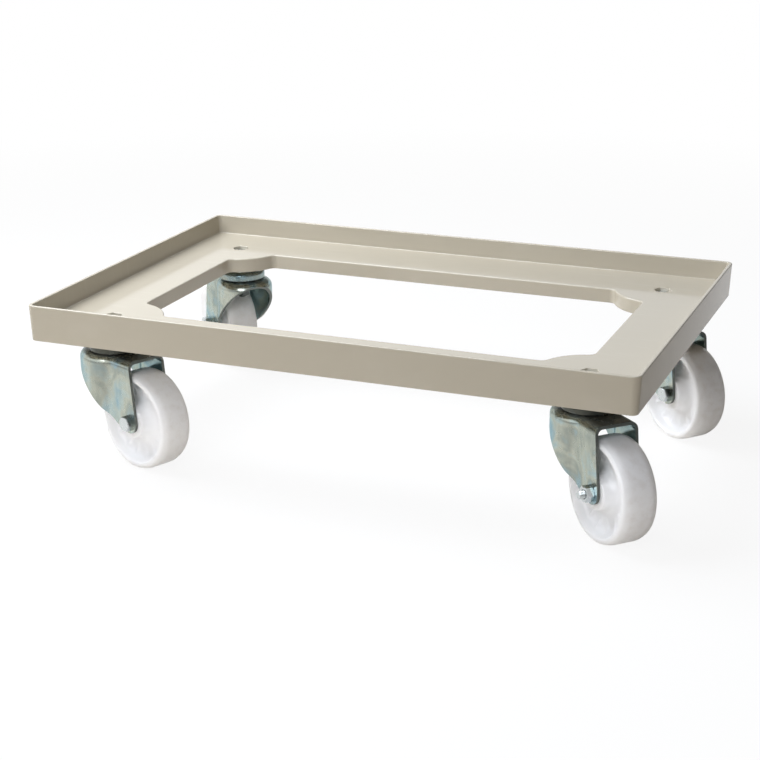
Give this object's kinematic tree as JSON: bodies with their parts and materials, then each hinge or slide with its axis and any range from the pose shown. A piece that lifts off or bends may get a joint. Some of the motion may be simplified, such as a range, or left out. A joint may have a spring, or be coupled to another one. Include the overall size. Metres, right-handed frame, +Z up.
{
  "type": "dough box dolly",
  "caption": "Low moulded plastic dolly with a raised rim, a flat seat and an open centre, on swivel castors, for moving stacked dough boxes.",
  "frame": {"origin": "on the floor, under the centre of the frame", "axes": "+X along the frame's long side, +Y from the front side to the rear, +Z up"},
  "size_m": [0.6632, 0.4425, 0.17],
  "materials": {
    "frame_plastic": "semi-gloss moulded polypropylene, grey-beige",
    "wheel_plastic": "satin moulded polyamide, white",
    "zinc_steel": "pressed sheet steel, zinc plated and passivated",
    "bolt_steel": "zinc plated fastener"
  },
  "bodies": {
    "dolly_frame": {"frame": "frame_plastic", "swivel_caps": "zinc_steel", "king_sleeves": "zinc_steel", "lower_race_cups": "zinc_steel", "mounting_bolts": "bolt_steel", "mounting_nuts": "bolt_steel"},
    "front_left_castor": {"front_left_fork": "zinc_steel", "front_left_axle_bolt": "bolt_steel", "front_left_axle_nut": "bolt_steel", "front_left_axle_sleeve": "zinc_steel"},
    "front_left_roller": {"front_left_wheel": "wheel_plastic"},
    "front_right_castor": {"front_right_fork": "zinc_steel", "front_right_axle_bolt": "bolt_steel", "front_right_axle_nut": "bolt_steel", "front_right_axle_sleeve": "zinc_steel"},
    "front_right_roller": {"front_right_wheel": "wheel_plastic"},
    "rear_left_castor": {"rear_left_fork": "zinc_steel", "rear_left_axle_bolt": "bolt_steel", "rear_left_axle_nut": "bolt_steel", "rear_left_axle_sleeve": "zinc_steel"},
    "rear_left_roller": {"rear_left_wheel": "wheel_plastic"},
    "rear_right_castor": {"rear_right_fork": "zinc_steel", "rear_right_axle_bolt": "bolt_steel", "rear_right_axle_nut": "bolt_steel", "rear_right_axle_sleeve": "zinc_steel"},
    "rear_right_roller": {"rear_right_wheel": "wheel_plastic"}
  },
  "joints": [
    {"name": "front_left_swivel", "type": "hinge", "parent": "dolly_frame", "child": "front_left_castor", "pos_m": [-0.2485, -0.1465, 0.114], "axis": [0, 0, 1], "continuous": true},
    {"name": "front_left_spin", "type": "hinge", "parent": "front_left_castor", "child": "front_left_roller", "pos_m": [-0.20631, -0.16406, 0.05], "axis": [0.3843, 0.9232, 0], "continuous": true},
    {"name": "front_right_swivel", "type": "hinge", "parent": "dolly_frame", "child": "front_right_castor", "pos_m": [0.2485, -0.1465, 0.114], "axis": [0, 0, 1], "continuous": true},
    {"name": "front_right_spin", "type": "hinge", "parent": "front_right_castor", "child": "front_right_roller", "pos_m": [0.28154, -0.17807, 0.05], "axis": [0.6909, 0.723, 0], "continuous": true},
    {"name": "rear_left_swivel", "type": "hinge", "parent": "dolly_frame", "child": "rear_left_castor", "pos_m": [-0.2485, 0.1465, 0.114], "axis": [0, 0, 1], "continuous": true},
    {"name": "rear_left_spin", "type": "hinge", "parent": "rear_left_castor", "child": "rear_left_roller", "pos_m": [-0.28427, 0.17495, 0.05], "axis": [-0.6225, -0.7826, 0], "continuous": true},
    {"name": "rear_right_swivel", "type": "hinge", "parent": "dolly_frame", "child": "rear_right_castor", "pos_m": [0.2485, 0.1465, 0.114], "axis": [0, 0, 1], "continuous": true},
    {"name": "rear_right_spin", "type": "hinge", "parent": "rear_right_castor", "child": "rear_right_roller", "pos_m": [0.28299, 0.11652, 0.05], "axis": [0.6561, 0.7547, 0], "continuous": true}
  ]
}
